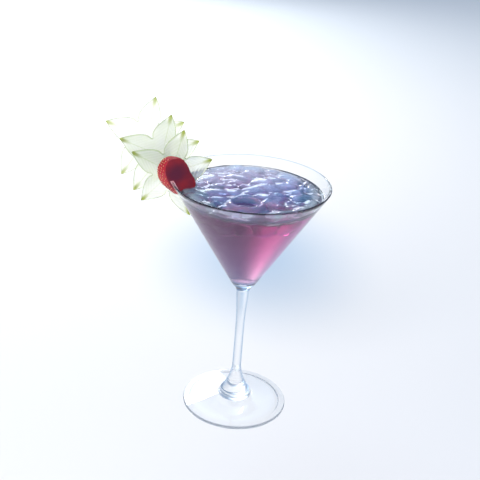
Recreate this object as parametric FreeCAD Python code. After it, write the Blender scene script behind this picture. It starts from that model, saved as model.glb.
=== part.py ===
import FreeCAD
import Part
import math
import os
import random

# Stemmed cone glass with an iced drink and a fruit garnish hung on its rim.
# Millimetres, z up, origin at the centre of the foot on the table, front towards -Y.

# glass
glassHeight = 181.0
rimRadius = 55.8          # outermost
bowlHalfAngle = 31.0      # between the bowl wall and the axis, degrees
wall = 1.3
bowlFloorRadius = 14.0    # ball that rounds the inside of the bowl's bottom
bowlNeckRadius = 9.43     # where the outer cone starts to run into the stem
stemRadius = 3.35
stemTopRadius = 4.55      # just below the bowl
footRadius = 39.3
footEdge = 2.5            # thickness at the rim of the foot
footRing = 4.2            # width of the flat ring it stands on
footHollow = 2.4          # height of the hollow under the middle
footCrown = 8.3           # height where the foot meets the collar
collarRadius = 11.2
collarHeight = 12.0
collarRound = 0.75        # its top edge is drawn in by this
collarFoot = 0.1          # and its bottom edge by this
collarBelly = 1.9         # its widest place is this far above the foot
flareRadius = 38.0        # sweep from the collar up into the stem

# contents
drinkBelowRim = 7.6
iceRise = 3.0             # highest lump above the drink
iceBase = 0.4             # hollows between the lumps above the drink
iceDepth = 6.0            # from the top of the ice layer to its underside
iceGap = 0.8              # ring of open drink between the ice and the wall
iceLump = 9.0             # spacing of the lumps
iceScatter = 2.0          # a lump is off its place by up to this
iceCell = 3.75            # mesh of the surface that runs over the lumps
iceSeed = 11

# star fruit slices, front to back: middle (out from the rim, up from the rim)
# and the five points as (angle, reach)
sliceThickness = 1.8
sliceGap = 0.35
sliceFront = 4.1          # front face of the first slice behind the glass axis
slices = [
    ((-0.4, 0.3), [(22.6, 29.9), (76.9, 32.0), (156.6, 30.9), (-131.7, 31.2), (-65.9, 34.7)]),
    ((-8.0, 11.0), [(26.6, 28.4), (79.8, 30.3), (161.5, 31.2), (-124.8, 33.6), (-58.0, 29.5)]),
    ((-18.4, 22.3), [(28.5, 27.9), (81.7, 29.9), (161.8, 30.9), (-122.2, 33.5), (-56.0, 27.5)]),
]
notchRatio = 0.45         # notch between two points against their reach
notchRound = 0.8
tipRound = 0.7
pointWaist = (0.84, 0.135)  # a point's edge near its tip: along and across, against its reach
pointBelly = (0.54, 1.32)   # and at its widest: along its reach, and across against the notch

# half strawberry: height from the rim, left and right edge from the rim, half depth
berrySections = [
    (-11.4, 4.0, 8.6, 1.6),
    (-10.5, 1.9, 12.2, 4.0),
    (-8.0, -1.6, 16.2, 6.4),
    (-4.0, -6.2, 18.3, 8.2),
    (0.0, -8.8, 17.2, 9.0),
    (4.0, -9.6, 14.2, 9.1),
    (8.0, -9.2, 12.5, 8.6),
    (11.6, -7.4, 10.2, 7.2),
    (14.0, -5.4, 7.6, 5.0),
    (15.0, -3.6, 4.4, 2.6),
]
berryMiddle = -6.0        # depth of its axis
berryCut = (0.0, -10.4)   # a point of the cut face, out from the rim and in depth
berryCutTurn = 25.0       # the cut face looks this far to the right of the front

# fits
slotClearance = 0.15      # wall of the glass in the slots of the fruit
slotDepth = 45.0          # below the rim, deeper than any fruit hangs

lean = math.radians(bowlHalfAngle)
slope = math.tan(lean)
lipRadius = wall / 2
lipMiddle = (rimRadius - lipRadius, glassHeight - lipRadius)
drinkLevel = glassHeight - drinkBelowRim


def coneRadius(z, offset):
    """Radius at height z of the cone that lies `offset` outside the middle of the wall."""
    return lipMiddle[0] + (z - lipMiddle[1]) * slope + offset / math.cos(lean)


def coneHeight(radius, offset):
    """Height at which that cone has the given radius."""
    return lipMiddle[1] + (radius - lipMiddle[0] - offset / math.cos(lean)) / slope


def point(r, z):
    return FreeCAD.Vector(r, 0, z)


def line(a, b):
    return Part.makeLine(point(*a), point(*b))


def arc(a, b, c):
    return Part.Arc(point(*a), point(*b), point(*c)).toShape()


def spline(points, startDirection, endDirection):
    curve = Part.BSplineCurve()
    curve.interpolate(Points=[point(*p) for p in points],
                      InitialTangent=point(*startDirection), FinalTangent=point(*endDirection))
    return curve.toShape()


def bezier(points):
    curve = Part.BezierCurve()
    curve.setPoles([point(*p) for p in points])
    return curve.toShape()


def turn(edges):
    """Solid of revolution about z of a closed profile."""
    face = Part.Face(Part.Wire(edges))
    return face.revolve(FreeCAD.Vector(0, 0, 0), FreeCAD.Vector(0, 0, 1), 360)


def polygonTurn(points):
    return turn([line(a, b) for a, b in zip(points, points[1:] + points[:1])])


def floorPoints():
    """Bottom, middle and end of the rounded bowl floor."""
    radius = bowlFloorRadius
    middle = coneHeight(0, -lipRadius) + bowlFloorRadius / math.sin(lean)
    angles = (-math.pi / 2, (-math.pi / 2 - lean) / 2, -lean)
    return [(radius * math.cos(a), middle + radius * math.sin(a)) for a in angles]


def makeGlass():
    out = (math.cos(lean), -math.sin(lean))
    lipOut = (lipMiddle[0] + lipRadius * out[0], lipMiddle[1] + lipRadius * out[1])
    lipIn = (lipMiddle[0] - lipRadius * out[0], lipMiddle[1] - lipRadius * out[1])
    lipTop = (lipMiddle[0] - lipRadius * math.sin(lean), lipMiddle[1] + lipRadius * math.cos(lean))
    floorBottom, floorMiddle, floorEnd = floorPoints()

    ringOut = footRadius - footEdge / 2
    ringIn = ringOut - footRing
    edgeTop = (ringOut, footEdge)
    flareEnd = stemRadius + flareRadius
    collarTop = (collarRadius - collarRound, collarHeight)
    collarBottom = (collarRadius - collarFoot, footCrown)
    flareTop = collarHeight + math.sqrt(flareRadius ** 2 - (flareEnd - collarTop[0]) ** 2)
    flareTurn = math.asin((flareTop - collarHeight) / flareRadius) / 2
    flareMiddle = (flareEnd - flareRadius * math.cos(flareTurn), flareTop - flareRadius * math.sin(flareTurn))
    flareStart = (stemRadius, flareTop)
    neck = (bowlNeckRadius, coneHeight(bowlNeckRadius, lipRadius))
    taper = stemTopRadius - stemRadius
    swell = bowlNeckRadius - stemTopRadius
    stem = [(radius, flareTop + part * (neck[1] - flareTop)) for radius, part in [
        (stemRadius, 0), (stemRadius - 0.05, 0.29), (stemRadius, 0.52), (stemRadius + 0.42 * taper, 0.695),
        (stemTopRadius, 0.848), (stemTopRadius + 0.38 * swell, 0.942), (bowlNeckRadius, 1)]]
    edges = [
        arc((0, footHollow), (ringIn * 0.5, footHollow * 0.8), (ringIn, 0)),
        line((ringIn, 0), (ringOut, 0)),
        arc((ringOut, 0), (footRadius, footEdge / 2), edgeTop),
        line(edgeTop, collarBottom),
        arc(collarBottom, (collarRadius, footCrown + collarBelly), collarTop),
        arc(collarTop, flareMiddle, flareStart),
        spline(stem, (0, 1), (math.sin(lean), math.cos(lean))),
        line(neck, lipOut),
        arc(lipOut, lipTop, lipIn),
        line(lipIn, floorEnd),
        arc(floorEnd, floorMiddle, floorBottom),
        line(floorBottom, (0, footHollow)),
    ]
    return turn(edges)


def makeWallTool():
    """The bowl wall grown by the slot clearance, to cut slots that the rim fits."""
    grow = lipRadius + slotClearance
    top = glassHeight + slotClearance
    low = glassHeight - slotDepth
    return polygonTurn([
        (coneRadius(low, -grow), low), (coneRadius(low, grow), low),
        (coneRadius(top, grow), top), (coneRadius(top, -grow), top),
    ])


def makeDrink():
    floorBottom, floorMiddle, floorEnd = floorPoints()
    edge = (coneRadius(drinkLevel, -lipRadius), drinkLevel)
    return turn([
        arc(floorBottom, floorMiddle, floorEnd), line(floorEnd, edge),
        line(edge, (0, drinkLevel)), line((0, drinkLevel), floorBottom),
    ])


def makeIce():
    """One layer of lumps: a surface of domes, carried down and trimmed to the bowl."""
    dice = random.Random(iceSeed)
    reach = coneRadius(drinkLevel, -lipRadius) + iceDepth
    rowSpacing = iceLump * 0.87
    lumps = []
    rows = int(2 * reach / rowSpacing) + 1
    for row in range(rows):
        for column in range(rows):
            x = -reach + (column + 0.5 * (row % 2)) * iceLump + dice.uniform(-iceScatter, iceScatter)
            y = -reach + row * rowSpacing + dice.uniform(-iceScatter, iceScatter)
            lumps.append((x, y, iceLump * dice.uniform(0.55, 0.8), dice.uniform(0.45, 1)))

    def topHeight(x, y):
        best = 0
        for lx, ly, radius, height in lumps:
            near = 1 - ((x - lx) ** 2 + (y - ly) ** 2) / radius ** 2
            if near > 0:
                best = max(best, height * math.sqrt(near))
        return drinkLevel + iceBase + (iceRise - iceBase) * best

    count = int(2 * reach / iceCell)
    step = 2 * reach / count
    grid = []
    for i in range(count + 1):
        x = -reach + i * step
        ys = [-reach + j * step for j in range(count + 1)]
        grid.append([FreeCAD.Vector(x, y, topHeight(x, y)) for y in ys])
    surface = Part.BSplineSurface()
    surface.interpolate(grid)
    layer = surface.toShape().extrude(FreeCAD.Vector(0, 0, -iceDepth))
    low = drinkLevel - iceDepth - iceRise
    high = drinkLevel + iceRise
    room = polygonTurn([(0, low), (coneRadius(low, -lipRadius - iceGap), low),
                        (coneRadius(high, -lipRadius - iceGap), high), (0, high)])
    return layer.common(room)


def rotated(u, v, angle):
    c, s = math.cos(angle), math.sin(angle)
    return (u * c - v * s, u * s + v * c)


def makeSlice(index):
    """A five-pointed slice standing in the plane of the glass axis and its rim."""
    (out, up), ribs = slices[index]
    middle = (out - rimRadius, up + glassHeight)

    def place(u, v, degrees):
        x, z = rotated(u, v, math.radians(degrees))
        return (middle[0] + x, middle[1] + z)

    edges = []
    notchRise = notchRound * 0.7
    count = len(ribs)
    for i in range(count):
        angle, reach = ribs[i]
        nextAngle, nextReach = ribs[(i + 1) % count]
        notchAngle = angle + ((nextAngle - angle) % 360) / 2
        notch = notchRatio * (reach + nextReach) / 2
        half = (notchAngle - angle) % 360
        tipSide = (reach - tipRound, tipRound)
        edges.append(arc(place(tipSide[0], -tipSide[1], angle), place(reach, 0, angle),
                         place(*tipSide, angle)))
        notchStart = place(notch + notchRise, -notchRound, notchAngle)
        notchEnd = place(notch + notchRise, notchRound, notchAngle)
        width = notch * math.sin(math.radians(half))
        poles = [place(*tipSide, angle), place(reach * pointWaist[0], reach * pointWaist[1], angle),
                 place(reach * pointBelly[0], width * pointBelly[1], angle), notchStart]
        edges.append(bezier(poles))
        edges.append(arc(notchStart, place(notch, 0, notchAngle), notchEnd))
        half = (nextAngle - notchAngle) % 360
        width = notch * math.sin(math.radians(half))
        poles = [notchEnd, place(nextReach * pointBelly[0], -width * pointBelly[1], nextAngle),
                 place(nextReach * pointWaist[0], -nextReach * pointWaist[1], nextAngle),
                 place(nextReach - tipRound, -tipRound, nextAngle)]
        edges.append(bezier(poles))
    front = sliceFront + index * (sliceThickness + sliceGap)
    face = Part.Face(Part.Wire(edges))
    face.translate(FreeCAD.Vector(0, front, 0))
    return face.extrude(FreeCAD.Vector(0, sliceThickness, 0))


def makeStrawberry():
    wires = []
    for up, left, right, depth in berrySections:
        half = (right - left) / 2
        middle = FreeCAD.Vector((left + right) / 2 - rimRadius, berryMiddle, glassHeight + up)
        if half >= depth:
            ellipse = Part.Ellipse(middle, half, depth)
        else:
            ellipse = Part.Ellipse(middle, depth, half)
        wires.append(Part.Wire(ellipse.toShape()))
    body = Part.makeLoft(wires, True, False)
    size = 4 * max(right - left for up, left, right, depth in berrySections)
    block = Part.makeBox(size, size, size, FreeCAD.Vector(-size / 2, -size, -size / 2))
    block.rotate(FreeCAD.Vector(0, 0, 0), FreeCAD.Vector(0, 0, 1), berryCutTurn)
    block.translate(FreeCAD.Vector(berryCut[0] - rimRadius, berryCut[1], glassHeight))
    return body.cut(block)


glass = makeGlass()
wallTool = makeWallTool()
fruit = {"star_slice_%d" % (i + 1): makeSlice(i).cut(wallTool) for i in range(len(slices))}
fruit["strawberry"] = makeStrawberry().cut(wallTool)
ice = makeIce()
for shape in fruit.values():
    ice = ice.cut(shape)
drink = makeDrink().cut(ice)
for shape in fruit.values():
    drink = drink.cut(shape)

parts = {"glass": glass, "drink": drink, "crushed_ice": ice}
parts.update(fruit)
os.makedirs("parts", exist_ok=True)
for name, shape in parts.items():
    print(name, shape.ShapeType, len(shape.Solids), round(shape.Volume, 1), shape.isValid(), shape.BoundBox)
    shape.exportStep("parts/%s.step" % name)
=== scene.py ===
import math
import random

import bmesh
import bpy
import numpy as np
from mathutils import Matrix, Vector, noise


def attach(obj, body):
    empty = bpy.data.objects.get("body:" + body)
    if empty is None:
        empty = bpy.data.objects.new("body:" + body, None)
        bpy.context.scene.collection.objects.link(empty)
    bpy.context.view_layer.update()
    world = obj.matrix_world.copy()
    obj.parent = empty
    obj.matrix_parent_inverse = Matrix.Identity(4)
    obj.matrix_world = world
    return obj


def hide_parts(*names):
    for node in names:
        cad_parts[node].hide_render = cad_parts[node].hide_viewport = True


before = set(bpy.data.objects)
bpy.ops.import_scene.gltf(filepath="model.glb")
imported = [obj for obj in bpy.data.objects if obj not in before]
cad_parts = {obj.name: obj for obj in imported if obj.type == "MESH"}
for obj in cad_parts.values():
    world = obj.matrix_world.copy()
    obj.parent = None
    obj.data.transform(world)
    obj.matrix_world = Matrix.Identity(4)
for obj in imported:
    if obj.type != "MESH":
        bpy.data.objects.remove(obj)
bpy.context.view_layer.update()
mm = 0.001


class Wire:  # a socket that can be used in sums
    def __init__(self, tree, socket):
        self.tree, self.socket = tree, socket

    def calc(self, operation, *others, flipped=False, clamp=False):
        values = [*others, self] if flipped else [self, *others]
        return Board(self.tree).node("ShaderNodeMath", {"operation": operation, "use_clamp": clamp},
                                     dict(enumerate(values)))

    def __add__(self, other):
        return self.calc("ADD", other)

    def __sub__(self, other):
        return self.calc("SUBTRACT", other)

    def __rsub__(self, other):
        return self.calc("SUBTRACT", other, flipped=True)

    def __mul__(self, other):
        return self.calc("MULTIPLY", other)

    def __truediv__(self, other):
        return self.calc("DIVIDE", other)

    def __pow__(self, other):
        return self.calc("POWER", other)

    __radd__ = __add__
    __rmul__ = __mul__

    def clamped(self):
        return self.calc("ADD", 0, clamp=True)

    def sine(self):
        return self.calc("SINE")

    def size(self):
        return self.calc("ABSOLUTE")

    def most(self, other):
        return self.calc("MAXIMUM", other)

    def step(self, low, high):  # smooth 0 to 1 as the value goes from low to high
        return Board(self.tree).node("ShaderNodeMapRange", {"interpolation_type": "SMOOTHSTEP"}, {
            "Value": self, "From Min": low, "From Max": high})


def plug(tree, socket, value):
    if isinstance(value, Wire):
        tree.links.new(value.socket, socket)
    elif value is not None:
        socket.default_value = value


class Board:  # a tree that nodes are put on
    def __init__(self, tree):
        self.tree = tree

    def node(self, kind, settings=None, sockets=None, out=0):  # out None gives every output
        node = self.tree.nodes.new(kind)
        for name, value in (settings or {}).items():
            setattr(node, name, value)
        for name, value in (sockets or {}).items():
            plug(self.tree, node.inputs[name], value)
        if out is None:
            return [Wire(self.tree, socket) for socket in node.outputs]
        return Wire(self.tree, node.outputs[out])

    def mixed(self, factor, a, b):
        a, b = ((*colour, 1) if isinstance(colour, tuple) else colour for colour in (a, b))
        return self.node("ShaderNodeMix", {"data_type": "RGBA"}, {0: factor, 6: a, 7: b}, out=2)

    def place(self):
        return self.node("ShaderNodeTexCoord", out="Object")

    def split(self, vector=None):  # x, y and z of a vector, or of the place on the piece
        return self.node("ShaderNodeSeparateXYZ", {}, {"Vector": vector or self.place()}, out=None)

    def attribute(self, name):
        return self.node("ShaderNodeAttribute", {"attribute_name": name}, out="Fac")

    def noise(self, scale, detail):
        return self.node("ShaderNodeTexNoise", {}, {
            "Vector": self.place(), "Scale": scale, "Detail": detail})

    def bump(self, height, strength, distance):
        return self.node("ShaderNodeBump", {}, {
            "Height": height, "Strength": strength, "Distance": distance})


def finish(name, sockets, volume=None):
    # a material from one Principled shader; sockets may be a function of the board
    material = bpy.data.materials.new(name)
    material.use_nodes = True
    material.node_tree.nodes.clear()
    board = Board(material.node_tree)
    values = sockets(board) if callable(sockets) else sockets
    shader = board.node("ShaderNodeBsdfPrincipled", {}, {
        key: (*value, 1) if isinstance(value, tuple) and len(value) == 3 and "Color" in key else value
        for key, value in values.items()})
    absorb = None
    if volume:
        absorb = board.node("ShaderNodeVolumeAbsorption", {}, {
            "Color": (*volume["colour"], 1), "Density": volume["density"]})
    board.node("ShaderNodeOutputMaterial", {}, {"Surface": shader, "Volume": absorb}, out=None)
    return material


def newTree(name, given):
    # a geometry tree, its board, and a wire from each of its named inputs
    tree = bpy.data.node_groups.new(name, "GeometryNodeTree")
    for key, kind in given.items():
        tree.interface.new_socket(key, in_out="INPUT", socket_type="NodeSocket" + kind)
    tree.interface.new_socket("Geometry", in_out="OUTPUT", socket_type="NodeSocketGeometry")
    board = Board(tree)
    return tree, board, board.node("NodeGroupInput", out=None)[:len(given)]


def runTree(piece, tree, values):
    modifier = piece.modifiers.new("build", "NODES")
    modifier.node_group = tree
    for item in tree.interface.items_tree:
        if item.in_out == "INPUT" and item.name in values:
            modifier[item.identifier] = values[item.name]


# meshes: sizes in millimetres from here on
def addPiece(name, points, faces, material, smooth=True):
    mesh = bpy.data.meshes.new(name)
    mesh.from_pydata([tuple(c * mm for c in p) for p in points], [], faces)
    mesh.validate()
    outward(mesh)
    piece = bpy.data.objects.new(name, mesh)
    bpy.context.scene.collection.objects.link(piece)
    if material:
        mesh.materials.append(material)
    mesh.polygons.foreach_set("use_smooth", [smooth] * len(mesh.polygons))
    return piece


def outward(mesh):
    work = bmesh.new()
    work.from_mesh(mesh)
    bmesh.ops.recalc_face_normals(work, faces=work.faces)
    if work.calc_volume(signed=True) < 0:
        bmesh.ops.reverse_faces(work, faces=work.faces)
    work.to_mesh(mesh)
    work.free()


def settled(piece, name):
    # the evaluated piece as a plain mesh, with its modifiers gone
    graph = bpy.context.evaluated_depsgraph_get()
    mesh = bpy.data.meshes.new_from_object(piece.evaluated_get(graph))
    mesh.name = name
    outward(mesh)
    done = bpy.data.objects.new(name, mesh)
    bpy.context.scene.collection.objects.link(done)
    bpy.data.objects.remove(piece)
    return done


def hand(piece, node):
    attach(piece, "root")
    if node:
        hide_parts(node)


def rings(rows):
    # points and faces of a closed skin through rings of equal length, poles given as one point
    points, faces, starts = [], [], []
    for row in rows:
        starts.append(len(points))
        points.extend(row)
    for a, b, lower, upper in zip(starts, starts[1:], rows, rows[1:]):
        count = max(len(lower), len(upper))
        for i in range(count):
            j = (i + 1) % count
            if len(lower) == 1:
                faces.append((a, b + i, b + j))
            elif len(upper) == 1:
                faces.append((a + i, b, a + j))
            else:
                faces.append((a + i, b + i, b + j, a + j))
    return points, faces


# the glass, turned from its profile
glassSizes = {
    "height": 181.0, "rimRadius": 55.8, "halfAngle": 31.0, "wall": 1.3, "floorBall": 14.0,
    "neckHeight": 103.0, "stemRadius": 3.35, "stemTopRadius": 4.55, "footRadius": 39.3,
    "footEdge": 2.5, "footRing": 4.2, "footHollow": 2.4, "footCrown": 8.3,
    "collarRadius": 11.2, "collarHeight": 12.0, "flareRadius": 38.0, "segments": 180,
}
lean = math.radians(glassSizes["halfAngle"])
slope = math.tan(lean)
halfWall = glassSizes["wall"] / 2
lipMiddle = (glassSizes["rimRadius"] - halfWall, glassSizes["height"] - halfWall)


def coneRadius(z, offset):
    return lipMiddle[0] + (z - lipMiddle[1]) * slope + offset / math.cos(lean)


def along(a, b, count):
    return [tuple(np.add(a, np.subtract(b, a) * i / count)) for i in range(count)]


def curved(middle, radius, start, end, count):
    turns = [math.radians(start + (end - start) * i / count) for i in range(count)]
    return [(middle[0] + radius * math.cos(t), middle[1] + radius * math.sin(t)) for t in turns]


def bentThrough(points, startSlope, endSlope, count):
    # smooth stretch of radius over height through given points
    heights = np.array([p[1] for p in points])
    radii = np.array([p[0] for p in points])
    n = len(points)
    rows, sides = np.zeros((n, n)), np.zeros(n)
    gaps = np.diff(heights)
    slopes = np.diff(radii) / gaps
    rows[0, 0] = rows[-1, -1] = 1
    sides[0], sides[-1] = startSlope, endSlope
    for i in range(1, n - 1):
        rows[i, i - 1], rows[i, i], rows[i, i + 1] = gaps[i], 2 * (gaps[i - 1] + gaps[i]), gaps[i - 1]
        sides[i] = 3 * (slopes[i - 1] * gaps[i] + slopes[i] * gaps[i - 1])
    tangents = np.linalg.solve(rows, sides)
    result = []
    for k in range(n - 1):
        for i in range(count):
            t = i / count
            a, b = (1 + 2 * t) * (1 - t) ** 2, t * (1 - t) ** 2
            c, d = t * t * (3 - 2 * t), t * t * (t - 1)
            r = (a * radii[k] + b * gaps[k] * tangents[k]
                 + c * radii[k + 1] + d * gaps[k] * tangents[k + 1])
            result.append((float(r), float(heights[k] + t * gaps[k])))
    return result


def bowlFloor():
    apex = lipMiddle[1] - (lipMiddle[0] - halfWall / math.cos(lean)) / slope
    return (0, apex + glassSizes["floorBall"] / math.sin(lean))


def glassProfile():
    g = glassSizes
    ringOut = g["footRadius"] - g["footEdge"] / 2
    ringIn = ringOut - g["footRing"]
    hollow = [(ringIn * math.sin(t), g["footHollow"] * math.cos(t) ** 0.8)
              for t in np.linspace(0, math.pi / 2, 18)[:-1]]
    flareEnd = g["stemRadius"] + g["flareRadius"]
    collarTop = (g["collarRadius"] - 0.75, g["collarHeight"])
    flareTop = g["collarHeight"] + math.sqrt(g["flareRadius"] ** 2 - (flareEnd - collarTop[0]) ** 2)
    flareTurn = math.degrees(math.asin((flareTop - g["collarHeight"]) / g["flareRadius"]))
    footTop = (g["collarRadius"] - 0.1, g["footCrown"])
    neck = (coneRadius(g["neckHeight"], halfWall), g["neckHeight"])
    stem = [(g["stemRadius"], flareTop), (g["stemRadius"] - 0.05, flareTop + 20),
            (g["stemRadius"], flareTop + 36), (g["stemRadius"] + 0.5, g["neckHeight"] - 21),
            (g["stemTopRadius"], g["neckHeight"] - 10.5), (g["stemTopRadius"] + 1.65, g["neckHeight"] - 4),
            neck]
    lipOut = (lipMiddle[0] + halfWall * math.cos(lean), lipMiddle[1] - halfWall * math.sin(lean))
    lipIn = (lipMiddle[0] - halfWall * math.cos(lean), lipMiddle[1] + halfWall * math.sin(lean))
    lipStart = -g["halfAngle"]
    ball = bowlFloor()
    radius = g["floorBall"]
    floorEnd = (radius * math.cos(-lean), ball[1] + radius * math.sin(-lean))
    points = hollow
    points += along((ringIn, 0), (ringOut, 0), 3)
    points += curved((ringOut, g["footEdge"] / 2), g["footEdge"] / 2, -90, 90, 12)
    points += along((ringOut, g["footEdge"]), footTop, 10)
    points += bentThrough([footTop, (g["collarRadius"], g["footCrown"] + 1.9), collarTop], 0.6, -0.72, 5)
    points += curved((flareEnd, flareTop), g["flareRadius"], 180 + flareTurn, 180, 24)
    points += bentThrough(stem, 0, slope, 9)
    points += along(neck, lipOut, 24)
    points += curved(lipMiddle, halfWall, lipStart, lipStart + 180, 10)
    points += along(lipIn, floorEnd, 24)
    points += curved(ball, radius, lipStart, -90, 20)
    points.append((0, ball[1] - radius))
    return points


def latheTree():
    # carries the profile's points round in steps, on a grid with a row for each step
    tree, board, (profile, segments, material) = newTree("lathe", {
        "Profile": "Geometry", "Segments": "Int", "Material": "Material"})
    count = board.node("GeometryNodeAttributeDomainSize", {"component": "MESH"}, {"Geometry": profile})
    grid = board.node("GeometryNodeMeshGrid", {}, {"Vertices X": segments + 1, "Vertices Y": count})
    index = board.node("GeometryNodeInputIndex")
    step = ((index + 0.5) / count).calc("FLOOR")
    own = index - step * count
    position = board.node("GeometryNodeInputPosition")
    sample = board.node("GeometryNodeSampleIndex", {"data_type": "FLOAT_VECTOR", "domain": "POINT"}, {
        "Geometry": profile, "Value": position, "Index": own + 0.2})
    radius, _, height = board.split(sample)
    turn = step * (2 * math.pi) / segments
    spot = board.node("ShaderNodeCombineXYZ", {}, {
        "X": radius * turn.calc("COSINE"), "Y": radius * turn.sine(), "Z": height})
    moved = board.node("GeometryNodeSetPosition", {}, {"Geometry": grid, "Position": spot})
    merged = board.node("GeometryNodeMergeByDistance", {}, {"Geometry": moved, "Distance": 0.000002})
    smooth = board.node("GeometryNodeSetShadeSmooth", {}, {"Geometry": merged})
    real = board.node("GeometryNodeRealizeInstances", {}, {"Geometry": smooth})
    painted = board.node("GeometryNodeSetMaterial", {}, {"Geometry": real, "Material": material})
    board.node("NodeGroupOutput", {}, {0: painted}, out=None)
    return tree


lathe = latheTree()


def turned(name, profile, segments, material):
    mesh = bpy.data.meshes.new(name + "Profile")
    mesh.from_pydata([(r * mm, 0, z * mm) for r, z in profile],
                     [(i, i + 1) for i in range(len(profile) - 1)], [])
    piece = bpy.data.objects.new(name + "Profile", mesh)
    bpy.context.scene.collection.objects.link(piece)
    runTree(piece, lathe, {"Segments": segments, "Material": material})
    return settled(piece, name)


# the glass's clear colour, and the blue of the shade painted along its outline
glassTintAndEdgeShade = {
    "clear": (0.99, 1.0, 1.0), "blue": (0.22, 0.36, 0.56), "onStem": 0.8, "onFoot": 0.2, "onBowl": 0.6,
    "broadEdge": (0.08, 0.6), "fineEdge": (0.62, 0.95),
    # heights in metres that each part fades in or out between
    "stemStart": (0.007, 0.014), "stemEnd": (0.1, 0.115),
    "bowlStart": (0.105, 0.125), "bowlEnd": (0.176, 0.179),
}


def glassFinish(board):
    # painted shade: bluer towards the outline, standing in for the darker surroundings seen through the
    # edges; most on the stem, little on the foot, only at the very edge of the bowl
    g = glassTintAndEdgeShade
    facing = board.node("ShaderNodeLayerWeight", {}, {"Blend": 0.5}, out=1)
    height = board.split()[2]
    stem = height.step(*g["stemStart"]) * (1 - height.step(*g["stemEnd"]))
    above = height.step(*g["bowlStart"])
    bowl = above * (1 - height.step(*g["bowlEnd"]))
    edgeShade = facing.step(*g["broadEdge"]) * (stem * g["onStem"] + (1 - above) * g["onFoot"])
    edgeShade = edgeShade + facing.step(*g["fineEdge"]) * bowl * g["onBowl"]
    return {"Base Color": board.mixed(edgeShade, g["clear"], g["blue"]),
            "Roughness": 0.0, "IOR": 1.5, "Specular Tint": (0.45, 0.5, 0.6, 1), "Transmission Weight": 1.0}


glassLook = finish("clearGlass", glassFinish)
glass = turned("glassBody", glassProfile(), glassSizes["segments"], glassLook)
hand(glass, "glass")
print("glass", len(glass.data.polygons))


# the drink, with its surface drawn up at the wall and round the ice
drinkSizes = {
    "level": 173.4, "intoWall": 0.35, "ripple": 0.3, "climb": 0.4, "climbWidth": 0.9, "iceBlend": 0.35,
    "segments": 300, "rings": 110,
}
drinkTint = {"colour": (0.67, 0.1, 0.48), "density": 44.0}
iceSizes = {
    "seed": 23, "reach": 48.4, "bigCount": 46, "bigApart": 11.0, "smallCount": 170, "smallApart": 4.6,
    "width": 16.5, "height": 3.5, "sunk": 1.5, "film": 0.22, "thickness": 3.2, "cell": 0.45,
    "blend": 3.5, "lower": 0.75, "around": 260, "rings": 96,  # blend: higher keeps the lumps more apart
    "ring": (-2.5, -27.5), "ringReach": (11.0, 9.0), "ringHalf": 3.4, "ringHeight": 3.7,
    # lumps listed along the front: middle, half width, half depth, turn, height
    "front": [(-38, -21, 7.0, 5.5, 0.6, 3.2), (-30, -33, 7.0, 5.0, -0.6, 2.7),
              (-17, -41, 6.5, 4.5, -0.3, 2.3), (24, -37, 7.5, 5.0, 0.5, 2.9),
              (37, -25, 6.5, 5.5, 0.9, 3.1), (12, -43, 6.0, 4.2, 0.1, 2.2)],
}


def iceLumps():
    # middle, half width, half depth, turn, height, tilt both ways and boxiness of each lump:
    # big ones first, small ones between, then the listed ones
    s = iceSizes
    dice = random.Random(s["seed"])
    lumps = []
    kinds = ((s["bigApart"], s["bigCount"], 1.0), (s["smallApart"], s["smallCount"], 0.4))
    for apart, count, small in kinds:
        start = len(lumps)
        for _ in range(9000):
            if len(lumps) - start == count:
                break
            r, t = s["reach"] * math.sqrt(dice.random()), dice.uniform(0, 2 * math.pi)
            x, y = r * math.cos(t), r * math.sin(t)
            own = small * dice.uniform(0.75, 1.3)
            if any(math.hypot(x - other[0], y - other[1]) < apart for other in lumps[start:]):
                continue
            half = own * s["width"] / 2
            lumps.append((x, y, half * dice.uniform(0.9, 1.3), half * dice.uniform(0.6, 0.9),
                          dice.uniform(-0.7, 0.7), s["height"] * dice.uniform(0.35, 1.0) * small ** 0.35,
                          dice.gauss(0, 0.09), dice.gauss(0, 0.09), dice.uniform(2.2, 4.5)))
    return lumps + [(*place, dice.gauss(0, 0.07), dice.gauss(0, 0.07), 3.0) for place in s["front"]]


lumps = iceLumps()


def iceHeight(x, y):
    # height of the melted ice over the drink's level, below zero in the hollows
    s = iceSizes
    total = np.zeros(x.shape)
    for lx, ly, wide, deep, turn, height, tiltX, tiltY, boxy in lumps:
        dx, dy = x - lx, y - ly
        u = (dx * math.cos(turn) + dy * math.sin(turn)) / wide
        v = (-dx * math.sin(turn) + dy * math.cos(turn)) / deep
        far = (np.abs(u) ** boxy + np.abs(v) ** boxy) ** (1 / boxy)
        dome = (height + s["sunk"]) * np.clip(1 - far ** 3.2, 0, 1) ** 0.55 - s["sunk"]
        total += np.exp(s["blend"] * np.where(far < 1, dome + dx * tiltX + dy * tiltY, -s["sunk"]))
    tops = np.log(total) / s["blend"] - s["lower"]
    (ringX, ringY), (reachX, reachY) = s["ring"], s["ringReach"]
    away = np.hypot((x - ringX) / reachX, (y - ringY) / reachY)  # 1 on the ring's crest
    ridge = s["ringHeight"] * np.exp(-((away - 1) * (reachX + reachY) / 2 / s["ringHalf"] * 1.6) ** 2)
    near = np.clip((1.6 - away) / 0.5, 0, 1)
    tops = tops * (1 - near) + near * np.minimum(tops, -0.6) + (ridge + 0.4) * near
    return np.minimum(tops, s["height"] + 0.5)


def soften(field, times):
    for _ in range(times):
        padded = np.pad(field, 1, mode="edge")
        beside = padded[:-2, 1:-1] + padded[2:, 1:-1] + padded[1:-1, :-2] + padded[1:-1, 2:]
        field = (beside + 4 * field) / 8
    return field


iceGrid = np.arange(-52.0, 52.0 + 0.01, iceSizes["cell"])
iceField = soften(iceHeight(*np.meshgrid(iceGrid, iceGrid, indexing="ij")), 2)


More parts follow.
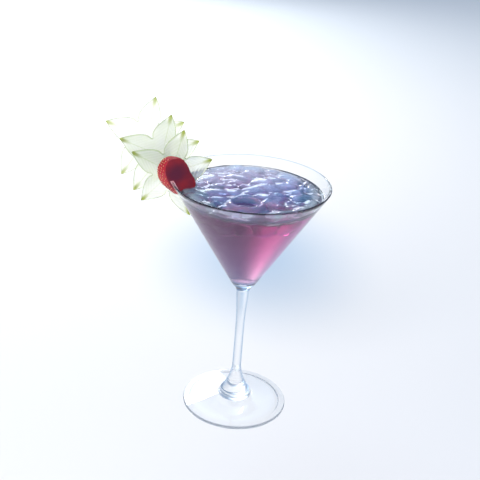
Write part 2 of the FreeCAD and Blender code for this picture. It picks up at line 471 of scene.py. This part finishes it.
def iceAt(x, y):
    u = min(max((x - iceGrid[0]) / iceSizes["cell"], 0), len(iceGrid) - 1.001)
    v = min(max((y - iceGrid[0]) / iceSizes["cell"], 0), len(iceGrid) - 1.001)
    i, j = int(u), int(v)
    a, b = u - i, v - j
    return float((iceField[i, j] * (1 - a) + iceField[i + 1, j] * a) * (1 - b)
                 + (iceField[i, j + 1] * (1 - a) + iceField[i + 1, j + 1] * a) * b)


def iceFade(x, y):
    # 1 over the ice, 0 at the wall
    return min(max((iceSizes["reach"] + 2.5 - math.hypot(x, y)) / 3.0, 0), 1)


def surfaceLift(x, y):
    # the higher of the still surface and the film of ice under it, blended, and the climb at the wall
    d, s = drinkSizes, iceSizes
    swell = noise.noise(Vector((x * 0.11, y * 0.11, 3.1)))
    swell += 0.5 * noise.noise(Vector((x * 0.3, y * 0.3, 8.2)))
    edge = coneRadius(d["level"], -halfWall) - math.hypot(x, y)
    over = (iceAt(x, y) + s["sunk"]) * iceFade(x, y) - s["sunk"] - s["film"]
    still = 0.4 * d["ripple"] * swell
    raised = 0.5 * (over + still + math.hypot(over - still, d["iceBlend"]))
    return raised + 0.3 * d["ripple"] * swell + d["climb"] * math.exp(-max(edge, 0) / d["climbWidth"])


def drinkRows():
    d = drinkSizes
    level, count = d["level"], d["segments"]
    outer = coneRadius(level + d["climb"], -halfWall + d["intoWall"])
    rows = [[(0, 0, level + surfaceLift(0, 0))]]
    for i in range(1, d["rings"] + 1):
        r = outer * (1 - (1 - i / d["rings"]) ** 1.25)
        row = []
        for j in range(count):
            t = 2 * math.pi * j / count
            x, y = r * math.cos(t), r * math.sin(t)
            row.append((x, y, level + surfaceLift(x, y)))
        rows.append(row)
    ball = bowlFloor()
    radius = glassSizes["floorBall"] + d["intoWall"]
    floorEnd = (radius * math.cos(lean), ball[1] - radius * math.sin(lean))
    side = along((outer, level + d["climb"]), floorEnd, 24)[1:]
    side += curved(ball, radius, -glassSizes["halfAngle"], -90, 16)
    for r, z in side:
        rows.append([(r * math.cos(2 * math.pi * j / count), r * math.sin(2 * math.pi * j / count), z)
                     for j in range(count)])
    rows.append([(0, 0, ball[1] - radius)])
    return rows


drinkLook = finish("mauveDrink", {
    "Base Color": (1.0, 1.0, 1.0), "Roughness": 0.0, "IOR": 1.33, "Specular Tint": (0.6, 0.7, 0.85, 1),
    "Transmission Weight": 1.0}, drinkTint)
drink = addPiece("drinkBody", *rings(drinkRows()), drinkLook)
hand(drink, "drink")
print("drink", len(drink.data.polygons))


def iceLayer():
    # a closed sheet: melted lumps on top, a soft underside
    s, level = iceSizes, drinkSizes["level"]
    reach = s["reach"] + 1.0
    top, low = [], []
    for i in range(s["rings"] + 1):
        r = reach * (i / s["rings"]) ** 0.8
        fade = min(max((reach - r) / 2.2, 0), 1) ** 0.5  # to nothing at the sheet's edge
        upper, lower = [], []
        for j in range(s["around"]):
            t = 2 * math.pi * j / s["around"]
            x, y = r * math.cos(t), r * math.sin(t)
            z = (iceAt(x, y) + s["sunk"]) * fade - s["sunk"]
            depth = s["thickness"] * fade * (0.75 + 0.5 * noise.noise(Vector((x * 0.12, y * 0.12, 1.7))))
            upper.append((x, y, level + z))
            lower.append((x, y, level + min(-s["sunk"] - depth, z - 0.02)))
        top.append(upper if i else [(0, 0, upper[0][2])])
        low.append(lower if i else [(0, 0, lower[0][2])])
    return rings(top + low[::-1])


# the ice's colours, with painted shade for the hollows and painted light for the back and the wall
iceColourAndPaintedLight = {
    "hollow": (0.14, 0.28, 0.54), "top": (0.34, 0.66, 1.0), "paintedLight": (0.8, 0.94, 1.0),
    "blush": (0.85, 0.42, 0.58), "below": (1.0, 0.85, 0.95),
}


def iceFinish(board):
    # painted shade and light: blue in the hollows, paler on top, whiter at the back and along the wall;
    # with the drink's pink in front
    cloud, fine = board.noise(70, 4), board.noise(300, 3)
    x, y, z = board.split()
    rise = z - drinkSizes["level"] * mm
    (ringX, ringY), (reachX, reachY) = ([v * mm for v in iceSizes[key]] for key in ("ring", "ringReach"))
    away = (((x - ringX) / reachX) ** 2 + ((y - ringY) / reachY) ** 2) ** 0.5
    onRing = (1 - (away - 1).size().step(0.1, 0.4)) * cloud.step(0.3, 0.65)
    inFront = (y * -1).step(0.008, 0.028) * cloud.step(0.48, 0.62)
    margin = ((x ** 2 + y ** 2) ** 0.5).step(0.039, 0.046)
    back = (y - x * 0.5).step(-0.02, 0.045)
    # painted shade: darker in the hollows, paler on the tops
    top = (rise.step(-0.0008, 0.003) + cloud - 0.5).clamped()
    colour = board.mixed(top, iceColourAndPaintedLight["hollow"], iceColourAndPaintedLight["top"])
    # painted light: whiter towards the back and along the wall
    colour = board.mixed((back * 0.8).most(margin * 0.9), colour, iceColourAndPaintedLight["paintedLight"])
    colour = board.mixed(inFront.most(onRing) * (1 - margin) * 0.65, colour, iceColourAndPaintedLight["blush"])
    colour = board.mixed(rise.step(-0.0045, -0.0018), iceColourAndPaintedLight["below"], colour)
    return {"Base Color": colour, "Roughness": 0.03, "IOR": 1.31, "Transmission Weight": 0.74,
            "Normal": board.bump(fine * 0.6 + cloud, 0.3, 0.0008)}


iceLook = finish("wetIce", iceFinish)
crushedIce = addPiece("crushedIce", *iceLayer(), iceLook)
hand(crushedIce, "crushed_ice")
print("ice", len(crushedIce.data.polygons))


# larger pieces of ice sunk in the drink: middle, width and seed of each
sunkSizes = {
    "chips": [((-9.0, -22.0, 161.5), 20.0, 31), ((24.0, -21.0, 164.0), 16.0, 32),
              ((4.0, 6.0, 160.0), 20.0, 33), ((-26.0, -10.0, 164.5), 15.0, 35),
              ((10.0, -30.0, 165.0), 14.0, 36), ((-14.0, 14.0, 163.0), 16.0, 34)],
    "deep": 0.9, "high": 0.8, "planes": 7, "hardness": 14,
}


def chipShape(seed, width):
    # a rounded solid between random planes, worn smooth by melting
    s = sunkSizes
    depth, height = width * s["deep"], width * s["high"]
    dice = random.Random(seed)
    sides = []
    for _ in range(s["planes"]):
        side = Vector((dice.gauss(0, 1), dice.gauss(0, 1), dice.gauss(0, 1))).normalized()
        sides.append((side, dice.uniform(0.72, 1.0)))
    ball = bmesh.new()
    bmesh.ops.create_icosphere(ball, subdivisions=3, radius=1)
    points = []
    for vertex in ball.verts:
        way = vertex.co.normalized()
        total = sum((max(0.0, way.dot(side)) / reach) ** s["hardness"] for side, reach in sides)
        radius = (total + 0.02) ** (-1 / s["hardness"])
        radius *= 1 + 0.05 * noise.noise(way * 2.3 + Vector((seed, 0, 0)))
        spot = way * min(radius, 1.25)
        points.append((spot.x * width / 2, spot.y * depth / 2, spot.z * height / 2))
    faces = [tuple(v.index for v in face.verts) for face in ball.faces]
    ball.free()
    return points, faces


sunkLook = finish("sunkIce", lambda board: {
    "Base Color": board.mixed(board.noise(160, 4).step(0.35, 0.65), (1.0, 0.8, 0.95), (1.0, 0.95, 1.0)),
    "Roughness": 0.02, "IOR": 1.04, "Specular Tint": (0.5, 0.5, 0.5, 1), "Transmission Weight": 0.95})
sunkPoints, sunkFaces = [], []
for (x, y, z), width, seed in sunkSizes["chips"]:
    points, faces = chipShape(seed, width)
    start = len(sunkPoints)
    sunkPoints += [(px + x, py + y, pz + z) for px, py, pz in points]
    sunkFaces += [tuple(i + start for i in face) for face in faces]
sunkIce = addPiece("sunkIce", sunkPoints, sunkFaces, sunkLook)
hand(sunkIce, None)
print("sunk ice", len(sunkIce.data.polygons))


# the fruit on the rim, slotted by a band of the glass's wall that is a little thinner than the wall
bandSizes = {"clearance": -0.3, "depth": 45, "segments": 360}


def wallBand():
    clearance, segments = bandSizes["clearance"], bandSizes["segments"]
    grow = halfWall + clearance
    top, low = glassSizes["height"] + clearance, glassSizes["height"] - bandSizes["depth"]
    profile = [(coneRadius(low, -grow), low), (coneRadius(low, grow), low),
               (coneRadius(top, grow), top), (coneRadius(top, -grow), top)]
    points = [(r * math.cos(2 * math.pi * i / segments), r * math.sin(2 * math.pi * i / segments), z)
              for i in range(segments) for r, z in profile]
    faces = []
    for i in range(segments):
        a, b = i * 4, (i + 1) % segments * 4
        faces += [(a + j, a + (j + 1) % 4, b + (j + 1) % 4, b + j) for j in range(4)]
    return addPiece("wallBand", points, faces, None)


def cutAway(piece, tool):
    modifier = piece.modifiers.new("cut", "BOOLEAN")
    modifier.operation, modifier.solver, modifier.object = "DIFFERENCE", "EXACT", tool


def label(mesh, name, values):
    mesh.attributes.new(name, "FLOAT", "POINT").data.foreach_set("value", values)


def spotsOf(mesh):
    # the mesh's points in millimetres
    spots = np.empty(len(mesh.vertices) * 3)
    mesh.vertices.foreach_get("co", spots)
    return spots.reshape(-1, 3) / mm


band = wallBand()
sliceSizes = {
    "thickness": 1.8, "gap": 0.35, "front": 4.1, "notch": 0.45, "notchRound": 0.8, "tipRound": 0.7,
    "edgeThin": 0.42, "edgeWidth": 1.1, "dish": 0.25, "dishWidth": 3.2,
    # how far out from the middle each ring of a face lies
    "shares": [0.06, 0.14, 0.24, 0.34, 0.44, 0.54, 0.64, 0.73, 0.81, 0.88, 0.93, 0.965, 0.985, 1.0],
    # middle of each slice from the rim, then the angle and length of its five ribs
    "slices": [
        ((-0.4, 0.3), [(22.6, 29.9), (76.9, 32.0), (156.6, 30.9), (-131.7, 31.2), (-65.9, 34.7)]),
        ((-8.0, 11.0), [(26.6, 28.4), (79.8, 30.3), (161.5, 31.2), (-124.8, 33.6), (-58.0, 29.5)]),
        ((-18.4, 22.3), [(28.5, 27.9), (81.7, 29.9), (161.8, 30.9), (-122.2, 33.5), (-56.0, 27.5)]),
    ],
}


def starOutline(ribs):
    # the slice's edge round its middle: a leaf-shaped point for each rib
    s = sliceSizes
    outline = []

    def place(u, v, degrees):
        c, n = math.cos(math.radians(degrees)), math.sin(math.radians(degrees))
        return (u * c - v * n, u * n + v * c)

    def bend(poles, count):
        poles = np.array(poles)
        for i in range(1, count):
            t = i / count
            outline.append(tuple((1 - t) ** 3 * poles[0] + 3 * t * (1 - t) ** 2 * poles[1]
                                 + 3 * t * t * (1 - t) * poles[2] + t ** 3 * poles[3]))

    for (angle, reach), (nextAngle, nextReach) in zip(ribs, ribs[1:] + ribs[:1]):
        half = ((nextAngle - angle) % 360) / 2
        notch = s["notch"] * (reach + nextReach) / 2
        notchSide = notch + s["notchRound"] * 0.7
        width = notch * math.sin(math.radians(half))
        outline += [place(reach - s["tipRound"], -s["tipRound"], angle), place(reach - 0.2, -0.4, angle),
                    place(reach, 0, angle), place(reach - 0.2, 0.4, angle),
                    place(reach - s["tipRound"], s["tipRound"], angle)]
        bend([outline[-1], place(reach * 0.84, reach * 0.135, angle),
              place(reach * 0.54, width * 1.32, angle),
              place(notchSide, -s["notchRound"], angle + half)], 14)
        outline += [place(out, over, angle + half) for out, over in (
            (notchSide, -s["notchRound"]), (notch + 0.15, -0.4), (notch, 0), (notch + 0.15, 0.4),
            (notchSide, s["notchRound"]))]
        bend([outline[-1], place(nextReach * 0.54, -width * 1.32, nextAngle),
              place(nextReach * 0.84, -nextReach * 0.135, nextAngle),
              place(nextReach - s["tipRound"], -s["tipRound"], nextAngle)], 14)
    return outline


def edgeDistance(spots, outline):
    # distance of each spot to the closed outline
    a = np.array(outline)
    b = np.roll(a, -1, axis=0)
    way = b - a
    best = np.full(len(spots), 1e9)
    for start, step in zip(a, way):
        t = np.clip(((spots - start) @ step) / (step @ step), 0, 1)
        gap = spots - start - t[:, None] * step
        best = np.minimum(best, np.hypot(gap[:, 0], gap[:, 1]))
    return best


def addSlice(index, material):
    s = sliceSizes
    (out, up), ribs = s["slices"][index]
    middle = (out - glassSizes["rimRadius"], up + glassSizes["height"])
    outline = starOutline(ribs)
    depth = s["front"] + index * (s["thickness"] + s["gap"]) + s["thickness"] / 2
    flat = np.array(outline)
    rows = []
    for side in (-1, 1):
        half = s["thickness"] / 2
        layer = [[(middle[0], depth + side * (half - s["dish"]), middle[1])]]
        for share in s["shares"]:
            spots = flat * share
            near = edgeDistance(spots, outline) if share < 1 else np.zeros(len(flat))
            thin = np.clip(1 - near / s["edgeWidth"], 0, 1) ** 2
            hollow = s["dish"] * np.exp(-(np.hypot(spots[:, 0], spots[:, 1]) / s["dishWidth"]) ** 2)
            y = half - (half - s["edgeThin"]) * thin - hollow
            layer.append([(middle[0] + x, depth + side * h, middle[1] + z) for (x, z), h in zip(spots, y)])
        rows += layer if side < 0 else layer[::-1]
    piece = addPiece("slice%d" % index, *rings(rows), material)
    if index < 2:
        cutAway(piece, band)
    piece = settled(piece, "starSlice%d" % (index + 1))
    # where each point lies on the slice, for its colours
    mesh = piece.data
    spots = spotsOf(mesh)[:, [0, 2]] - np.array(middle)
    angles = np.degrees(np.arctan2(spots[:, 1], spots[:, 0]))
    radius = np.hypot(spots[:, 0], spots[:, 1])
    turns = np.array([(angles - angle + 180) % 360 - 180 for angle, reach in ribs])
    nearest = np.abs(turns).argmin(axis=0)
    turn = np.radians(turns[nearest, np.arange(len(nearest))])
    reach = np.array([reach for angle, reach in ribs])[nearest]
    label(mesh, "edge", edgeDistance(spots, outline))
    label(mesh, "ribLength", radius * np.cos(turn) / reach)
    label(mesh, "ribSide", radius * np.sin(turn))
    mesh.polygons.foreach_set("use_smooth", [True] * len(mesh.polygons))
    return piece


def sliceFinish(green):
    # pale flesh with greener veins, skin and tips; green 0 to 1
    def sockets(board):
        edge, length, side = (board.attribute(name) for name in ("edge", "ribLength", "ribSide"))
        cloudy = board.noise(120, 4)
        # fibres slant outwards either side of each rib
        fibre = (((side.size() + length * 26.0) * 2.6).sine() * 0.5 + 0.5) * (0.25 + cloudy)
        vein = 1 - side.size().step(0.12, 0.5)
        flesh = board.mixed(cloudy.step(0.3, 0.75), (0.93, 0.96, 0.84), (0.98, 0.99, 0.94))
        flesh = board.mixed(vein * length.step(0.15, 0.5) * 0.5, flesh, (0.68, 0.76, 0.46))
        flesh = board.mixed(fibre * 0.18 * green, flesh, (0.55, 0.66, 0.36))
        tip = length.step(0.7, 0.95) * (1 - side.size().step(0.6, 1.9))
        skin = 1 - edge.step(0.1, 0.85)
        colour = board.mixed(skin * (0.55 + 0.2 * green), flesh, (0.62, 0.72, 0.34))
        colour = board.mixed(tip * (0.7 + 0.3 * green), colour, (0.36, 0.42, 0.08))
        return {"Base Color": colour, "Roughness": 0.12 + cloudy * 0.1, "IOR": 1.15,
                "Transmission Weight": 0.8, "Subsurface Weight": 1.0,
                "Subsurface Radius": (1.0, 1.0, 0.8), "Subsurface Scale": 0.006,
                "Normal": board.bump(fibre + cloudy, 0.25, 0.0004)}
    return sockets


for index, green in enumerate((1.0, 0.7, 0.35)):
    piece = addSlice(index, finish("starFlesh%d" % (index + 1), sliceFinish(green)))
    hand(piece, "star_slice_%d" % (index + 1))
print("slices")


# the half strawberry and its seeds: height, left, right and half depth of each section
berrySizes = {
    "sections": [
        (-11.4, 4.0, 8.6, 1.6), (-10.5, 1.9, 12.2, 4.0), (-8.0, -1.6, 16.2, 6.4), (-4.0, -6.2, 18.3, 8.2),
        (0.0, -8.8, 17.2, 9.0), (4.0, -9.6, 14.2, 9.1), (8.0, -9.2, 12.5, 8.6), (11.6, -7.4, 10.2, 7.2),
        (14.0, -5.4, 7.6, 5.0), (15.0, -3.6, 4.4, 2.6),
    ],
    "middle": -6.0, "cutThrough": (1.0, -13.2), "cutTurn": 33.0, "cutTilt": 14.0,
    "seedApart": 2.35, "dimple": 0.42, "dimpleRadius": 0.95, "around": 150, "levels": 110, "voxel": 0.26,
    "dice": 7, "seedDice": 5, "seedSmallest": 0.68, "seedLargest": 0.82, "seedSides": 8, "seedFlat": 0.62,
    # place along a seed and half width of each of its rings
    "seedRings": [(-0.62, 0.04), (-0.4, 0.3), (-0.05, 0.42), (0.3, 0.3), (0.62, 0.12), (0.72, 0.03)],
}
cutTurn = math.radians(berrySizes["cutTurn"])
cutTilt = math.radians(berrySizes["cutTilt"])
cutWay = np.array((math.sin(cutTurn) * math.cos(cutTilt), -math.cos(cutTurn) * math.cos(cutTilt),
                   math.sin(cutTilt)))
cutSpot = np.array((berrySizes["cutThrough"][0] - glassSizes["rimRadius"], berrySizes["cutThrough"][1],
                    glassSizes["height"]))


def berrySpot(level, turn):
    # level 0 to 1 up the berry, turn in radians round it
    rows = np.array(berrySizes["sections"])
    place = level * (len(rows) - 1)
    k = min(int(place), len(rows) - 2)
    t = place - k
    before, a, b, after = rows[max(k - 1, 0)], rows[k], rows[k + 1], rows[min(k + 2, len(rows) - 1)]
    up, left, right, depth = 0.5 * (2 * a + (b - before) * t + (2 * before - 5 * a + 4 * b - after) * t * t
                                    + (3 * a - before - 3 * b + after) * t ** 3)
    return np.array(((left + right) / 2 - glassSizes["rimRadius"] + (right - left) / 2 * math.cos(turn),
                     berrySizes["middle"] + depth * math.sin(turn), glassSizes["height"] + up))


def sowTree():
    # a shape on every point, turned to the point's own way, with a random size
    tree, board, (points, shape, smallest, largest, seed, material) = newTree("sown", {
        "Points": "Geometry", "Shape": "Object", "Smallest": "Float", "Largest": "Float", "Seed": "Int",
        "Material": "Material"})
    own = [board.node("GeometryNodeInputNamedAttribute", {"data_type": kind}, {"Name": key})
           for key, kind in (("up", "FLOAT_VECTOR"), ("spin", "FLOAT"), ("size", "FLOAT"))]
    up, spin, size = own
    upright = board.node("FunctionNodeAlignRotationToVector", {"axis": "Z"}, {"Vector": up})
    turn = board.node("ShaderNodeCombineXYZ", {}, {"Z": spin})
    facing = board.node("FunctionNodeRotateRotation", {"rotation_space": "LOCAL"}, {
        "Rotation": upright, "Rotate By": turn})
    dice = board.node("FunctionNodeRandomValue", {"data_type": "FLOAT"}, {
        2: smallest, 3: largest, "Seed": seed}, out=1)
    single = board.node("GeometryNodeObjectInfo", {}, {"Object": shape}, out="Geometry")
    placed = board.node("GeometryNodeInstanceOnPoints", {}, {
        "Points": points, "Instance": single, "Rotation": facing, "Scale": size * dice})
    real = board.node("GeometryNodeRealizeInstances", {}, {"Geometry": placed})
    smooth = board.node("GeometryNodeSetShadeSmooth", {}, {"Geometry": real})
    painted = board.node("GeometryNodeSetMaterial", {}, {"Geometry": smooth, "Material": material})
    board.node("NodeGroupOutput", {}, {0: painted}, out=None)
    return tree


def sown(name, spots, shape, material):
    # spots: place, up, spin and size of each; shape: points and faces of one
    points = bpy.data.meshes.new(name + "Points")
    points.from_pydata([tuple(c * mm for c in spot[0]) for spot in spots], [], [])
    for key, kind, field, values in [
            ("up", "FLOAT_VECTOR", "vector", [c for spot in spots for c in spot[1]]),
            ("spin", "FLOAT", "value", [spot[2] for spot in spots]),
            ("size", "FLOAT", "value", [spot[3] for spot in spots])]:
        points.attributes.new(key, kind, "POINT").data.foreach_set(field, values)
    single = addPiece(name + "Shape", *shape, None, smooth=False)
    piece = bpy.data.objects.new(name + "Points", points)
    bpy.context.scene.collection.objects.link(piece)
    b = berrySizes
    runTree(piece, sowTree(), {"Shape": single, "Smallest": b["seedSmallest"], "Largest": b["seedLargest"],
                               "Seed": b["seedDice"], "Material": material})
    done = settled(piece, name)
    bpy.data.objects.remove(single)
    return done


def seedShape():
    # a drop: rings along it, closed with a flat face at each end
    b = berrySizes
    sides = b["seedSides"]
    points, faces = [], []
    for place, wide in b["seedRings"]:
        for k in range(sides):
            t = 2 * math.pi * k / sides
            points.append((wide * math.cos(t), place, wide * b["seedFlat"] * math.sin(t) + 0.1))
    for i in range(0, len(points) - sides, sides):
        for k in range(sides):
            j = (k + 1) % sides
            faces.append((i + k, i + j, i + sides + j, i + sides + k))
    return points, faces + [tuple(range(sides)), tuple(range(len(points) - sides, len(points)))]


def seedPlaces(dice):
    # place, outward way and upward way of every seed: rows, each half a step round from the last
    b = berrySizes
    seeds = []
    level = 0.05
    row = 0
    while level < 0.98:
        here = [berrySpot(level, 2 * math.pi * i / 60) for i in range(60)]
        girth = sum(np.linalg.norm(np.subtract(p, q)) for p, q in zip(here, here[1:] + here[:1]))
        count = max(4, int(girth / b["seedApart"]))
        for i in range(count):
            turn = 2 * math.pi * (i + 0.5 * (row % 2) + dice.uniform(-0.12, 0.12)) / count
            own = min(max(level + dice.uniform(-0.008, 0.008), 0.02), 0.985)
            spot = berrySpot(own, turn)
            above, beside = berrySpot(own + 0.012, turn) - spot, berrySpot(own, turn + 0.05) - spot
            out = np.cross(beside, above)
            out /= np.linalg.norm(out)
            if out @ (spot - berrySpot(own, turn + math.pi)) < 0:
                out = -out
            seeds.append((spot, out))
        rise = np.linalg.norm(berrySpot(min(level + 0.05, 1), 0.8) - berrySpot(level, 0.8)) / 0.05
        level += b["seedApart"] * 0.82 / rise
        row += 1
    return seeds


def dimpledSkin(seeds):
    # rows of the berry's skin, drawn in at every seed
    b = berrySizes
    places, ways = (np.array([seed[k] for seed in seeds]) for k in (0, 1))
    rows = []
    for i in range(b["levels"] + 1):
        row = []
        for j in range(b["around"]):
            spot = berrySpot(i / b["levels"], 2 * math.pi * j / b["around"])
            gap = np.linalg.norm(places - spot, axis=1)
            pull = np.exp(-(gap / b["dimpleRadius"]) ** 2)
            spot = spot - (ways * pull[:, None]).sum(axis=0) * b["dimple"]
            row.append(tuple(spot))
        rows.append(row)
    return [[tuple(np.mean(rows[0], axis=0))]] + rows + [[tuple(np.mean(rows[-1], axis=0))]]


def addBerry(material, seedLook):
    b = berrySizes
    dice = random.Random(b["dice"])
    seeds = seedPlaces(dice)
    body = addPiece("berry", *rings(dimpledSkin(seeds)), material)
    block = bmesh.new()
    bmesh.ops.create_cube(block, size=60)
    turn = Matrix.Rotation(cutTurn, 4, "Z") @ Matrix.Rotation(-cutTilt, 4, "X")
    turn = Matrix.Translation(Vector(cutSpot)) @ turn @ Matrix.Translation((0, -30, 0))
    bmesh.ops.transform(block, matrix=turn, verts=block.verts)
    tool = addPiece("berryCut", [tuple(v.co) for v in block.verts],
                    [tuple(v.index for v in face.verts) for face in block.faces], None)
    block.free()
    cutAway(body, tool)
    cutAway(body, band)
    remesh = body.modifiers.new("even", "REMESH")
    remesh.mode, remesh.voxel_size = "VOXEL", b["voxel"] * mm
    ease = body.modifiers.new("ease", "SMOOTH")
    ease.factor, ease.iterations = 0.5, 3
    body = settled(body, "strawberryHalf")
    bpy.data.objects.remove(tool)
    mesh = body.data
    mesh.polygons.foreach_set("use_smooth", [True] * len(mesh.polygons))
    spots = spotsOf(mesh)
    normals = np.empty(len(spots) * 3)
    mesh.vertices.foreach_get("normal", normals)
    facing = normals.reshape(-1, 3) @ cutWay
    behind = -((spots - cutSpot) @ cutWay)  # 0 at the cut face, growing into the fruit
    label(mesh, "cutFace", np.clip((facing - 0.6) / 0.3, 0, 1) * np.clip((0.5 - behind) / 0.3, 0, 1))
    slot = np.abs(np.hypot(spots[:, 0], spots[:, 1]) - np.array([coneRadius(z, 0) for z in spots[:, 2]]))
    inside = (slot < halfWall / math.cos(lean) + 0.45) & (spots[:, 2] < glassSizes["height"] + 0.4)
    label(mesh, "slotWall", inside.astype(float))
    seedSpots = []
    for spot, out in seeds:  # none on the cut face or in the slot
        clear = -((spot - cutSpot) @ cutWay)
        rim = abs(math.hypot(spot[0], spot[1]) - coneRadius(spot[2], 0))
        if clear < 0.5 or (rim < 1.6 and spot[2] < glassSizes["height"] + 1.2):
            continue
        seedSpots.append((tuple(spot - out * (b["dimple"] * 1.05)), tuple(out), dice.uniform(-0.3, 0.3),
                          dice.uniform(0.85, 1.1)))
    return body, sown("strawberrySeeds", seedSpots, seedShape(), seedLook)


def berryFinish(board):
    # red skin, darker flesh on the cut with a dark core, and paler walls in the slot: cut flesh painted
    # lighter than the cut face, a painted light against the slot's shade
    cutFace, slotWall = board.attribute("cutFace"), board.attribute("slotWall")
    blotch, fine = board.noise(90, 4), board.noise(700, 3)
    skin = board.mixed(blotch.step(0.35, 0.7), (0.3, 0.01, 0.018), (0.46, 0.024, 0.035))
    x, _, z = board.split()
    core = 1 - (((x + 0.052) ** 2 + ((z - 0.1855) * 0.8) ** 2) ** 0.5).step(0.002, 0.0085)
    flesh = board.mixed(blotch.step(0.3, 0.7), (0.17, 0.008, 0.022), (0.3, 0.012, 0.02))
    flesh = board.mixed(core * 0.8, flesh, (0.085, 0.007, 0.03))
    inner = cutFace.most(slotWall)
    # the slot's walls are cut flesh in a pale colour, partly painted light that lifts the slot's shade
    colour = board.mixed(slotWall, board.mixed(cutFace, skin, flesh), (0.75, 0.4, 0.42))
    return {"Base Color": colour, "Roughness": 0.26 + inner * 0.14, "IOR": 1.4,
            "Subsurface Weight": 0.4, "Subsurface Radius": (1.0, 0.25, 0.2), "Subsurface Scale": 0.004,
            "Coat Weight": 0.3, "Coat Roughness": 0.12,
            "Normal": board.bump(fine * 0.6 + blotch, 0.3, 0.0003)}


berryLook = finish("strawberryFlesh", berryFinish)
seedLook = finish("strawberrySeed", lambda board: {
    "Base Color": board.mixed(board.noise(400, 2), (0.4, 0.12, 0.03), (0.58, 0.24, 0.07)),
    "Roughness": 0.3})
strawberry, strawberrySeeds = addBerry(berryLook, seedLook)
hand(strawberry, "strawberry")
hand(strawberrySeeds, None)
bpy.data.objects.remove(band)
print("strawberry", len(strawberry.data.polygons), len(strawberrySeeds.data.polygons))


# camera, light and floor
cameraSizes = {
    "lens": 70.243, "place": (0.0, -605.32, 417.29), "pan": -0.46963, "pitch": 24.9487, "roll": 4.5691,
}


def addCamera():
    c = cameraSizes
    pan, pitch, roll = (math.radians(c[key]) for key in ("pan", "pitch", "roll"))
    forward = Vector((math.sin(pan) * math.cos(pitch), math.cos(pan) * math.cos(pitch), -math.sin(pitch)))
    right = Vector((math.cos(pan), -math.sin(pan), 0))
    up = right.cross(forward)
    side = math.cos(roll) * right + math.sin(roll) * up
    top = -math.sin(roll) * right + math.cos(roll) * up
    data = bpy.data.cameras.new("camera")
    data.lens, data.sensor_width = c["lens"], 36
    data.clip_start, data.clip_end = 0.01, 50
    camera = bpy.data.objects.new("camera", data)
    turn = Matrix((side, top, -forward)).transposed()
    camera.matrix_world = Matrix.Translation(Vector(c["place"]) * mm) @ turn.to_4x4()
    bpy.context.scene.collection.objects.link(camera)
    bpy.context.scene.camera = camera


def addSoftLight(name, place, aim, size, power, colour, gloss=True, clear=False):
    # a round lamp; without gloss nothing mirrors it, and a clear one isn't seen through the glass
    data = bpy.data.lights.new(name, "AREA")
    data.shape, data.size, data.energy, data.color = "DISK", size, power, colour
    lamp = bpy.data.objects.new(name, data)
    lamp.location = place
    lamp.visible_glossy, lamp.visible_transmission = gloss, gloss and not clear
    lamp.rotation_euler = (Vector(aim) - Vector(place)).to_track_quat("-Z", "Y").to_euler()
    bpy.context.scene.collection.objects.link(lamp)


worldSizes = {
    "low": (0.26, 0.35, 0.48), "high": (0.34, 0.44, 0.6),
    # a way is its turn from the back and its height, in degrees
    "glow": (1.6, 1.95, 2.4), "glowWay": (-27, 38), "glowReach": (37, 12),
    "haze": (1.75, 1.6, 1.7), "hazeWay": (-14, 6), "hazeTight": 60,
}


def addWorld():
    w = worldSizes
    world = bpy.data.worlds.new("studio")
    world.use_nodes = True
    world.node_tree.nodes.clear()
    board = Board(world.node_tree)
    direction = board.node("ShaderNodeTexCoord", out="Generated")
    height = board.split(direction)[2]

    def near(way):  # 1 straight along the way, less beside it
        turn, rise = (math.radians(v) for v in w[way])
        aim = (math.sin(turn) * math.cos(rise), math.cos(turn) * math.cos(rise), math.sin(rise))
        return board.node("ShaderNodeVectorMath", {"operation": "DOT_PRODUCT"}, {
            0: direction, 1: aim}, out=1)

    colour = board.mixed(height.step(0.0, 0.7), w["low"], w["high"])
    colour = board.mixed(near("hazeWay").most(0) ** w["hazeTight"], colour, w["haze"])
    start, full = (math.cos(math.radians(v)) for v in w["glowReach"])
    colour = board.mixed(near("glowWay").step(start, full), colour, w["glow"])
    back = board.node("ShaderNodeBackground", {}, {"Color": colour, "Strength": 1.0})
    board.node("ShaderNodeOutputWorld", {}, {"Surface": back}, out=None)
    bpy.context.scene.world = world


# the floor's pale colour and the blue-grey of the shade painted behind the glass
floorTintAndShade = {"middle": (0.01, 0.26), "reach": (0.12, 0.17), "fade": (0.0, 1.15),
             "shade": (0.41, 0.49, 0.575), "plain": (0.74, 0.705, 0.68)}


def floorFinish(board):
    # pale, with a painted soft blue shade on the floor behind the glass, so that the glass and the drink
    # see a darker ground
    f = floorTintAndShade
    x, y, _ = board.split()
    far = (((x - f["middle"][0]) / f["reach"][0]) ** 2 + ((y - f["middle"][1]) / f["reach"][1]) ** 2) ** 0.5
    return {"Base Color": board.mixed(far.step(*f["fade"]), f["shade"], f["plain"]),
            "Roughness": 0.7, "Specular IOR Level": 0.1}


floor = addPiece("table", [(-3000, -3000, 0), (3000, -3000, 0), (3000, 3000, 0), (-3000, 3000, 0)],
                 [(0, 1, 2, 3)], finish("paleTable", floorFinish), smooth=False)
addWorld()
addSoftLight("key", (-0.38, 0.85, 0.68), (-0.1, 0.3, 0.0), 0.2, 5.0, (1.0, 0.92, 0.8))
addSoftLight("fill", (-0.5, -1.3, 1.0), (0, 0, 0.1), 1.2, 24, (1.0, 0.97, 0.94), gloss=False)
addSoftLight("panel", (-0.4, 1.5, 0.62), (0, 0, 0.17), 0.9, 9.5, (0.84, 0.94, 1.0), clear=True)
addCamera()
# clear glass neither shades the drink nor darkens the floor's bounced light
glass.visible_shadow = False
glass.visible_diffuse = False
bpy.context.scene.view_settings.view_transform = "Standard"
bpy.context.scene.cycles.max_bounces = 24
bpy.context.scene.cycles.transmission_bounces = 24
bpy.context.scene.cycles.glossy_bounces = 16
print("stage")
